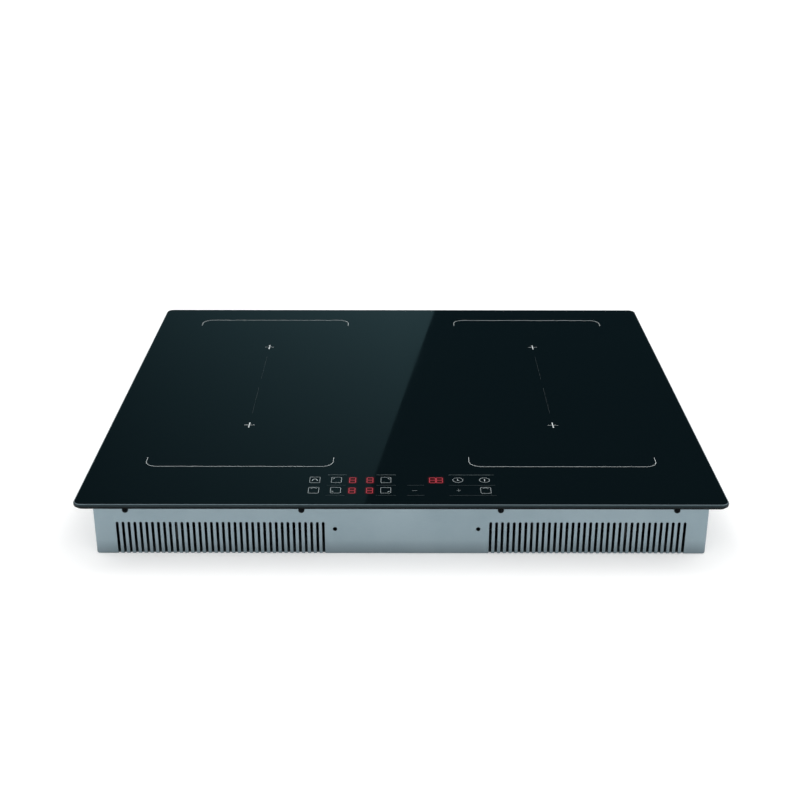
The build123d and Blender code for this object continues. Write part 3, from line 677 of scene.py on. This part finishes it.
ribbon, tree, coords = start("PVC ribbon cable, extruded grey")
wires = add(
    tree,
    "TexWave",
    {"Vector": coords, "Scale": 2 * pi / (wave_bands * wire_spacing * MM)},
    wave_type="BANDS",
    bands_direction="X",
)
# The colour is darker in the valleys between the wires: a painted shade.
ribbon_tint = add(
    tree,
    "Mix",
    {"Factor": wires.outputs["Fac"], MIX_A: colour("#A2A4A6"), MIX_B: colour("#C6C8CA")},
    data_type="RGBA",
)
ribbon_gloss = add(
    tree,
    "MapRange",
    {"Value": wires.outputs["Fac"], "To Min": ribbon_roughness[0], "To Max": ribbon_roughness[1]},
)
ribbon_relief = add(tree, "Bump", {"Height": wires.outputs["Fac"], "Distance": wire_ridge})
ribbon_shader = add(
    tree,
    "BsdfPrincipled",
    {
        "Base Color": ribbon_tint.outputs[MIX_COLOUR],
        "Roughness": ribbon_gloss.outputs["Result"],
        "IOR": 1.53,
        "Normal": ribbon_relief.outputs["Normal"],
    },
)
add(tree, "OutputMaterial", {"Surface": ribbon_shader.outputs["BSDF"]})
finishes["cable_grey"] = ribbon
print("wires", wire_spacing, "mm apart")

# %% [markdown]
# ## Foam, felt and litz wire
# The seal is closed-cell foam, whose cut skin is a field of tiny cells. The mats over the coils are
# pressed ceramic fibre, and the coils are wound from litz wire, a rope of enamelled copper strands.

# %% Foam, felt and litz wire
cell_size = 0.6
cell_depth = 0.1 * MM
foam_roughness = (0.75, 0.95)
foam_shine = 0.05

foam, tree, coords = start("closed-cell foam tape, black")
cells = add(tree, "TexVoronoi", {"Vector": coords, "Scale": 1 / (cell_size * MM)}).outputs["Distance"]
# The pits of the cells are coloured a shade darker than their rims: a painted shade.
foam_tint = add(
    tree, "Mix", {"Factor": cells, MIX_A: colour("#050607"), MIX_B: colour("#0D0F10")}, data_type="RGBA"
)
foam_gloss = add(
    tree, "MapRange", {"Value": cells, "To Min": foam_roughness[0], "To Max": foam_roughness[1]}
)
foam_relief = add(tree, "Bump", {"Height": cells, "Distance": cell_depth})
foam_shader = add(
    tree,
    "BsdfPrincipled",
    {
        "Base Color": foam_tint.outputs[MIX_COLOUR],
        "Roughness": foam_gloss.outputs["Result"],
        "Specular IOR Level": foam_shine,
        "Normal": foam_relief.outputs["Normal"],
    },
)
add(tree, "OutputMaterial", {"Surface": foam_shader.outputs["BSDF"]})
finishes["black_foam"] = foam
finishes["felt"] = grained(
    "ceramic fibre felt, pressed", "#EAE7DD", "#D8D3C5", grain=1.2, depth=0.3, roughness=(0.85, 1.0),
    stretch=(1, 1, 3)
)
finishes["litz_wire"] = grained(
    "copper litz, enamelled strands", "#C77B49", "#9C5A32", grain=0.7, depth=0.03,
    roughness=(0.28, 0.42), metallic=1.0
)
print("finishes", len(finishes))

# %% [markdown]
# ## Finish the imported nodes
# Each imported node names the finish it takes, so one loop hands out the materials made above.

# %% Hand out the finishes
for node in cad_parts.values():
    for place in node.material_slots:
        place.material = finishes[place.material.name]
print("finished nodes", len(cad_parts))

# %% [markdown]
# ## Carrying a profile along a path
# Printed lines, the seal, the mats and the coils are all one kind of shape: a small closed profile
# carried along a path in plan. Blender's curve bevel can do that, but it rounds corners its own way.
# Here it is worked out with arrays, so a band keeps its width round every corner. A second function
# joins such bands into one mesh and lets it ride on the cooktop.

# %% Bands and pieces
def carry(path, profile, closed=False):
    """Carry a closed profile along a plan path. At each path point the sideways direction is the
    mean of the normals of the two runs that meet there, lengthened so that the width holds. A
    profile point lies sideways by its first number, and its second number is its height. The
    profile is one outline, or one for each path point. Gives vertices, side faces and end faces."""
    path = np.asarray(path, float)
    runs = np.roll(path, -1, axis=0) - path
    after = np.column_stack([runs[:, 1], -runs[:, 0]])
    after /= np.linalg.norm(after, axis=1, keepdims=True)
    before = np.roll(after, 1, axis=0)
    if not closed:
        before[0] = after[0]
        after[-1] = before[-1]
    sideways = (before + after) / (1 + np.sum(before * after, axis=1, keepdims=True))
    outlines = np.broadcast_to(profile, (len(path), *np.shape(profile)[-2:]))
    plan = path[:, None, :] + sideways[:, None, :] * outlines[:, :, :1]
    vertices = np.concatenate([plan, outlines[:, :, 1:]], axis=2).reshape(-1, 3)
    stations, points = outlines.shape[:2]
    ring = np.arange(points)
    turn = (ring + 1) % points
    along = np.arange(stations if closed else stations - 1)[:, None]
    here = along * points
    ahead = (along + 1) % stations * points
    sides = np.stack([here + ring, ahead + ring, ahead + turn, here + turn], axis=-1).reshape(-1, 4)
    ends = np.stack([ring, ring[::-1] + (stations - 1) * points])
    return vertices, sides, ends[:0] if closed else ends


def build(name, bands, material, slot=None, smooth=False):
    """Join carried bands into one piece that rides on the cooktop's body."""
    vertices, faces, count = [], [], 0
    for points, sides, ends in bands:
        vertices.append(points)
        faces += (sides + count).tolist() + (ends + count).tolist()
        count += len(points)
    mesh = bpy.data.meshes.new(name)
    mesh.from_pydata(np.concatenate(vertices).tolist(), [], faces)
    mesh.materials.append(material)
    if smooth:
        mesh.shade_smooth()
    piece = bpy.data.objects.new(name, mesh)
    bpy.context.scene.collection.objects.link(piece)
    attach(piece, "hob")
    print(name, "has", len(faces), "faces")
    return piece


square = [(1, -1), (1, 1), (-1, 1), (-1, -1)]
print("a square bar of one run has", len(carry([(0, 0), (9, 0)], square)[1]), "side faces")

# %% [markdown]
# The paths and profiles are made of a few outlines: arcs and circles, boxes with round corners, and a
# soft section for foam, felt and wire. Each gives a list of points, so they can be stacked or scaled.

# %% Outlines
def arc(centre, radius, start_angle, end_angle, count=12):
    """Points on a circular arc, at even angles in degrees."""
    angles = np.radians(np.linspace(start_angle, end_angle, count))
    return np.array(centre) + radius * np.column_stack([np.cos(angles), np.sin(angles)])


def circle(centre, radius, count):
    """Points on a full circle, at even angles, without a double at its end."""
    return arc(centre, radius, 0, 360, count + 1)[:-1]


def rounded_box(centre, size, corner, count=8):
    """A closed outline of four quarter arcs, which straight sides join."""
    reach = np.array(size) / 2 - corner
    quarters = ((1, 1, 0), (-1, 1, 90), (-1, -1, 180), (1, -1, 270))
    arcs = [arc(centre + reach * (x, y), corner, turn, turn + 90, count) for x, y, turn in quarters]
    return np.vstack(arcs)


def soft_profile(width, low, high, power, count):
    """A closed outline between two heights: a superellipse, so that its corners are soft."""
    angles = np.linspace(0, 2 * pi, count, endpoint=False)
    across, up = np.cos(angles), np.sin(angles)
    bulge = (np.abs(across) ** power + np.abs(up) ** power) ** (-1 / power)
    middle, half = (low + high) / 2, (high - low) / 2
    return np.column_stack([width / 2 * bulge * across, middle + half * bulge * up])


print("a rounded box has", len(rounded_box((0, 0), (1, 1), 0.1)), "points")

# %% [markdown]
# ## Foam seal
# A strip of foam tape runs under the rim of the glass and takes up the unevenness of a worktop. It is
# soft, so its section bulges a little between the glass and the worktop instead of being a sharp
# block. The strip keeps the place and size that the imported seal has.

# %% Foam seal
seal_low, seal_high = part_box("foam_seal")
seal_width = 8.0 * MM
seal_corner = 4.5 * MM

seal_path = rounded_box(
    (0, 0), (2 * seal_high.x - seal_width, 2 * seal_high.y - seal_width), seal_corner
)
seal_outline = soft_profile(seal_width, seal_low.z, seal_high.z, power=5, count=20)
seal_strip = build(
    "foam_seal_strip",
    [carry(seal_path, seal_outline, closed=True)],
    foam,
    slot="black_foam",
    smooth=True,
)
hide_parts("foam_seal")

# %% [markdown]
# ## Coils and their mats
# Each coil is a flat spiral of litz wire. Half circles about two centres, half a pitch apart, join
# into such a spiral without a kink. The wire's section is a soft rectangle with shallow ridges, and
# turning the ridges as the wire runs on makes the twist of its strands. A felt mat covers each coil.

# %% Spiral and strands
coil_turns = 16
coil_bore = 25.0 * MM
wire_width = 3.0 * MM
wire_pitch = 3.6 * MM
wire_lay = 24.0 * MM
strand_count = 9
strand_depth = 0.05
half_turn_points = 20


def spiral(centre):
    """Half circles in turn about two centres, each larger than the last by half the pitch."""
    travel = np.linspace(0, 2 * coil_turns, 2 * coil_turns * half_turn_points + 1)
    half = np.minimum(np.floor(travel), 2 * coil_turns - 1)
    radius = coil_bore + wire_width / 2 + half * wire_pitch / 2
    x = centre[0] + wire_pitch / 2 * (half % 2) + radius * np.cos(pi * travel)
    y = centre[1] + radius * np.sin(pi * travel)
    return np.column_stack([x, y])


def litz_outlines(path, low, high):
    """A soft rectangle at each path point, drawn in between the strands by a cosine of the angle
    round it, which turns by a full circle for each lay of the wire."""
    outline = soft_profile(wire_width, low, high, power=5, count=27)
    runs = np.linalg.norm(np.diff(path, axis=0, prepend=path[:1]), axis=1)
    turned = 2 * pi * np.cumsum(runs)[:, None] / wire_lay
    around = np.linspace(0, 2 * pi, len(outline), endpoint=False)
    drawn_in = 1 - strand_depth * (1 + np.cos(strand_count * around - turned)) / 2
    middle = np.array((0, (low + high) / 2))
    return middle + (outline - middle) * drawn_in[:, :, None]


print("one coil takes", len(spiral((0, 0))), "path points")

# %% [markdown]
# The loop below makes each coil and its mat at the heights of the imported ones. A mat is a flat ring: a
# soft outline as wide as the ring is carried round a circle. It lies on its coil.

# %% Coils and mats
felt_bore = 20.0 * MM
felt_points = 96
zones = [f"{side}_{row}" for side in ("left", "right") for row in ("front", "rear")]
zone_centres = {}
for zone in zones:
    former_low, former_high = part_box(f"coil_former_{zone}")
    zone_centres[zone] = np.array((former_low + former_high).xy) / 2
    coil_low, coil_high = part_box(f"coil_winding_{zone}")
    coil_path = spiral(zone_centres[zone])
    coil = build(
        f"litz_coil_{zone}",
        [carry(coil_path, litz_outlines(coil_path, coil_low.z, coil_high.z))],
        finishes["litz_wire"],
        slot="litz_wire",
        smooth=True,
    )
    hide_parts(f"coil_winding_{zone}")
    felt_low, felt_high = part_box(f"insulation_felt_{zone}")
    felt_radius = (felt_high.x - felt_low.x) / 2
    felt_path = circle(zone_centres[zone], (felt_radius + felt_bore) / 2, felt_points)
    felt_outline = soft_profile(felt_radius - felt_bore, felt_low.z, felt_high.z, power=6, count=32)
    mat = build(
        f"felt_mat_{zone}",
        [carry(felt_path, felt_outline, closed=True)],
        finishes["felt"],
        slot="felt",
        smooth=True,
    )
    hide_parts(f"insulation_felt_{zone}")

# %% [markdown]
# ## Enamel print
# The signs on the glass are screen-printed with a pale ceramic enamel and fired into the face. The
# screen leaves a faint mesh of pinholes, too fine to see at its real tenth of a millimetre, so it is
# drawn at a third. The keys are a greyer enamel, the guide lines a darker one, and the faintest lines
# are only a shade paler than the glass.

# %% Print enamels
mesh_size = 0.33
print_shades = {
    "screen printed": ("#D8DEDE", "#B9C1C2"),
    "printed grey": ("#AEB7B9", "#99A3A5"),
    "printed thin": ("#6B7779", "#566264"),
    "printed faint": ("#2C373A", "#242E31"),
}
print_pale, print_grey, print_thin, print_faint = [
    grained(f"ceramic enamel, {look}", *shades, grain=mesh_size, depth=0.01, roughness=(0.32, 0.5))
    for look, shades in print_shades.items()
]
print_height = 0.04 * MM


def stroke(path, width, closed=False):
    """A flat band of enamel along a path on the glass."""
    half = width / 2
    low, high = glass_high.z, glass_high.z + print_height
    return carry(path, [(half, low), (half, high), (-half, high), (-half, low)], closed)


print("enamel stands", print_height, "m proud of the glass")

# %% [markdown]
# ## Cooking zones
# Each side has one long zone over two coils. A bracket with round corners marks its front and rear
# end, a cross marks the middle of each coil, and a faint broken line links the crosses. The crosses
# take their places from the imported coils, so print and coils stay in line.

# %% Zone prints
zone_width = 178.7 * MM
zone_corner = 11.0 * MM
zone_tip = 19.5 * MM
zone_front_y = -183.3 * MM
zone_rear_y = 220.7 * MM
zone_line = 0.42 * MM
cross_width = 10.5 * MM
cross_length = 12.5 * MM
cross_level_line = 0.42 * MM
cross_upright_line = 1.2 * MM
link_line = 0.17 * MM
link_end_gap = 30.0 * MM
link_middle_gap = 26.0 * MM


def bracket(x, y, inward):
    """A straight line between two quarter arcs and two short arms that reach inward."""
    reach = zone_width / 2 - zone_corner
    inner_y = y + inward * zone_corner
    left = arc((x - reach, inner_y), zone_corner, 180, 180 + inward * 90)
    right = arc((x + reach, inner_y), zone_corner, -inward * 90, 0)
    tips = [(x + sign * zone_width / 2, y + inward * zone_tip) for sign in (-1, 1)]
    return np.vstack([tips[:1], left, right, tips[1:]])


for side in ("left", "right"):
    zone_x, front_y = zone_centres[f"{side}_front"]
    zone_x, rear_y = zone_centres[f"{side}_rear"]
    bands = [
        stroke(bracket(zone_x, zone_front_y, 1), zone_line),
        stroke(bracket(zone_x, zone_rear_y, -1), zone_line),
    ]
    for y in (front_y, rear_y):
        half_width, half_length = cross_width / 2, cross_length / 2
        bands.append(stroke([(zone_x - half_width, y), (zone_x + half_width, y)], cross_level_line))
        bands.append(stroke([(zone_x, y - half_length), (zone_x, y + half_length)], cross_upright_line))
    build(f"zone_print_{side}", bands, print_pale)
    middle_y = (front_y + rear_y) / 2
    spans = [
        (front_y + link_end_gap, middle_y - link_middle_gap / 2),
        (middle_y + link_middle_gap / 2, rear_y - link_end_gap),
    ]
    build(
        f"zone_link_{side}",
        [stroke([(zone_x, low), (zone_x, high)], link_line) for low, high in spans],
        print_faint,
    )

# %% [markdown]
# ## Key signs
# The touch keys stand in two rows along the front. Framed keys hold a tall or a flat arch, the four
# zone keys mark one corner of a frame, and round keys hold a clock and the power bar. The rows take
# their places from the springs under the keys. The print lies a little to the left and rear of those
# springs, so the whole panel is shifted by that much.

# %% Key places
spring_low, spring_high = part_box("touch_springs")
spring_radius = 4.0 * MM
panel_shift = np.array((-1.3, 2.2)) * MM
row_front = spring_low.y + spring_radius
row_rear = spring_high.y - spring_radius
frame_key_x = 78.75 * MM
zone_key_left = -58.7 * MM
zone_key_right = -12.8 * MM
clock_x = 53.9 * MM
minus_x = 13.55 * MM


def at(x, y):
    """A place on the key panel, moved with the whole panel."""
    return np.array((x, y)) + panel_shift


lock = at(-frame_key_x, row_rear)
left_arch = at(-frame_key_x, row_front)
right_arch = at(frame_key_x, row_front)
power = at(frame_key_x, row_rear)
clock = at(clock_x, row_rear)
plus = at(clock_x, row_front)
minus = at(minus_x, row_front)
print("key rows at", round(row_front, 4), "and", round(row_rear, 4))

# %% [markdown]
# All signs are strokes on the glass, so each is a short list of lines and arcs, in millimetres from
# the middle of its key. A font of symbols could give them too, but it would have to be read from disk.

# %% Key signs
sign_line = 0.35 * MM
mark_line = 0.55 * MM
bold_line = 0.68 * MM
power_line = 0.88 * MM
thin_line = 0.2 * MM
frame_key_size = (9.3 * MM, 11.6 * MM)
zone_key_size = (9.2 * MM, 10.9 * MM)
key_corner = 1.2 * MM
round_key_radius = 4.7 * MM
round_key_points = 48
tall_arch = arc((0, -1.2), 2.4, 0, 180) * (1, 1.5)
flat_arch = arc((0, 1.8), 3.0, 30, 150)
clock_hands = [(-0.2, 2.4), (-0.2, -0.9), (1.3, -0.9)]
power_bar = [(0, -2.6), (0, 2.0)]
minus_bar = [(-2.4, -0.5), (2.4, -0.5)]
plus_bars = [[(-1.9, 0), (1.9, 0)], [(0, -2.2), (0, 2.2)]]
corner_tick = np.array(((3.4, 1.6), (1.8, 3.6)))


def framed(centre, size):
    """A rounded frame round the middle of a key."""
    return stroke(rounded_box(centre, size, key_corner), sign_line, closed=True)


def strokes_at(centre, lines, width):
    """Straight or bent lines, in millimetres from a centre."""
    return [stroke(np.array(centre) + np.array(line) * MM, width) for line in lines]


signs = [framed(centre, frame_key_size) for centre in (lock, left_arch, right_arch)]
signs += strokes_at(lock, [tall_arch], bold_line)
for centre in (left_arch, right_arch):
    signs += strokes_at(centre, [flat_arch], sign_line)
for centre in (clock, power):
    signs.append(stroke(circle(centre, round_key_radius, round_key_points), sign_line, closed=True))
signs += strokes_at(clock, [clock_hands], bold_line)
signs += strokes_at(power, [power_bar], power_line)
signs += strokes_at(minus, [minus_bar], thin_line)
signs += strokes_at(plus, plus_bars, thin_line)
for x, across in ((zone_key_left, -1), (zone_key_right, 1)):
    for y, along in ((row_rear, 1), (row_front, -1)):
        signs.append(framed(at(x, y), zone_key_size))
        signs += strokes_at(at(x, y), [corner_tick * (across, along)], mark_line)
build("key_signs", signs, print_grey)

# %% [markdown]
# Guide lines run above, between and below the two rows and tie each group of keys together. Those
# above the rear row take the thin enamel, and the others the faint one, which almost sinks into the
# glass.

# %% Guide lines
guide_line = 0.34 * MM
guide_rows = {-203.0: print_thin, -224.0: print_faint, -243.8: print_faint}
guide_spans = ((-67.3, -49.9), (-21.5, -3.5), (45.3, 88.0))
minus_span = (6.8, 22.3)

for place, (y, enamel) in enumerate(guide_rows.items()):
    spans = guide_spans if place == 0 else (*guide_spans, minus_span)
    lines = [[at(left * MM, y * MM), at(right * MM, y * MM)] for left, right in spans]
    build(f"guide_lines_{place + 1}", [stroke(line, guide_line) for line in lines], enamel)

# %% [markdown]
# ## Lit digits
# Red seven-segment displays shine through the glass: one digit for each coil, and two for the timer.
# Their material is the polished face with a red glow in it. Some of the light is scattered in the
# glass round each display. The same material gives that haze, dimmed by a mask on its mesh.

# %% Red light
lens_size = 1.5
halo_attribute = "halo"


def red_glow(name, pale, deep, mask=None):
    """Red light under glass: noise blends two reds, and a mask on the mesh may dim them to black."""
    material, tree, coords = start(name)
    lens = add(tree, "TexNoise", {"Vector": coords, "Scale": 1 / (lens_size * MM)}).outputs["Fac"]
    red_tint = add(
        tree, "Mix", {"Factor": lens, MIX_A: colour(pale), MIX_B: colour(deep)}, data_type="RGBA"
    )
    if mask:
        share = add(tree, "Attribute", attribute_name=mask).outputs["Fac"]
        lit = {"Factor": share, MIX_A: colour("#000000"), MIX_B: red_tint.outputs[MIX_COLOUR]}
        red_tint = add(tree, "Mix", lit, data_type="RGBA")
    red_shader = add(
        tree,
        "BsdfPrincipled",
        {
            "Base Color": colour(glass_face),
            "Roughness": haze_roughness,
            "Specular IOR Level": glass_shine,
            "Emission Color": red_tint.outputs[MIX_COLOUR],
            "Emission Strength": 1.0,
        },
    )
    add(tree, "OutputMaterial", {"Surface": red_shader.outputs["BSDF"]})
    return material


red_light = red_glow("red light-emitting segments under glass", "#CA4A54", "#A8303C")
red_haze = red_glow("red light scattered in glass", "#42070B", "#360507", halo_attribute)
print("made", red_light.name, "and", red_haze.name)

# %% [markdown]
# A text object in a digital typeface would give the digits, but a segment is only a bar with pointed
# ends: a band whose width shrinks almost to nothing at both ends. The haze is a thin lens round each
# display, whose glow falls from its middle to its edge.

# %% Segments and halos
digit_size = np.array((6.2, 11.0)) * MM
segment_line = 0.72 * MM
segment_gap = 0.15 * MM
segment_point = 0.1 * MM
halo_spread = 3.4 * MM
halo_inset = 0.6 * MM
halo_corner = 1.5 * MM
halo_height = 0.02 * MM


def segment(first, last):
    """A bar that stops a gap short of two points, with full width between its pointed ends."""
    first, last = np.array(first), np.array(last)
    heading = (last - first) / np.linalg.norm(last - first)
    begin, end = first + heading * segment_gap, last - heading * segment_gap
    slope = heading * segment_line / 2
    halves = np.array((segment_point, segment_line, segment_line, segment_point)) / 2
    low = np.full(len(halves), glass_high.z)
    high = low + print_height
    outlines = [(halves, low), (halves, high), (-halves, high), (-halves, low)]
    return carry([begin, begin + slope, end - slope, end], np.array(outlines).transpose(2, 0, 1))


def digit(x, y):
    """All seven segments of one digit: three level bars and four upright ones."""
    right, top = (digit_size - segment_line) / 2
    bars = [((x - right, y + level), (x + right, y + level)) for level in (-top, 0, top)]
    for side in (-right, right):
        bars += [((x + side, y + low), (x + side, y + low + top)) for low in (-top, 0)]
    return [segment(*bar) for bar in bars]


def halo(centre, size):
    """A closed shallow lens: a rounded outline, a smaller one a little higher, and two flat ends."""
    outline = rounded_box(centre, size + halo_spread, halo_corner)
    inner = rounded_box(centre, size - halo_inset, halo_corner)
    low = np.column_stack([outline, np.full(len(outline), glass_high.z)])
    high = np.column_stack([inner, np.full(len(inner), glass_high.z + halo_height)])
    ring = np.arange(len(outline))
    turn = np.roll(ring, -1)
    sides = np.column_stack([ring, turn, turn + len(ring), ring + len(ring)])
    return np.vstack([low, high]), sides, np.stack([ring[::-1], ring + len(ring)])


print("a digit has", len(digit(0, 0)), "segments")

# %% [markdown]
# The digits stand in the two rows of the keys, half a millimetre lower than the signs. Both digits of
# the timer share one halo. A value at each point of a halo is the mask of its glow: 1 on the raised
# outline, and 0 on the one that lies on the glass.

# %% Digits
digit_drop = 0.5 * MM
digit_columns = (-43.65 * MM, -27.6 * MM)
timer_columns = (30.43 * MM, 36.85 * MM)

digit_rear = row_rear - digit_drop
digit_front = row_front - digit_drop
zone_digits = [at(column, row) for row in (digit_front, digit_rear) for column in digit_columns]
timer_digits = [at(column, digit_rear) for column in timer_columns]
bars = [bar for centre in zone_digits + timer_digits for bar in digit(*centre)]
build("lit_digits", bars, red_light)
timer_left, timer_right = timer_digits
lenses = [halo(centre, digit_size) for centre in zone_digits]
lenses.append(halo((timer_left + timer_right) / 2, digit_size + timer_right - timer_left))
halos = build("display_halos", lenses, red_haze)
heights = np.array([vertex.co.z for vertex in halos.data.vertices])
glow_values = halos.data.attributes.new(halo_attribute, "FLOAT", "POINT")
glow_values.data.foreach_set("value", (heights > glass_high.z + halo_height / 2).astype(float))

# %% [markdown]
# ## Measure
# The printed enamel is the only thing that stands proud of the imported model, by a few hundredths of
# a millimetre, so both boxes are printed.

# %% Measure the boxes
visual_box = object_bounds()
boxes = {"cad": [list(corner) for corner in cad_box], "visual": [list(corner) for corner in visual_box]}
print("boxes", boxes)
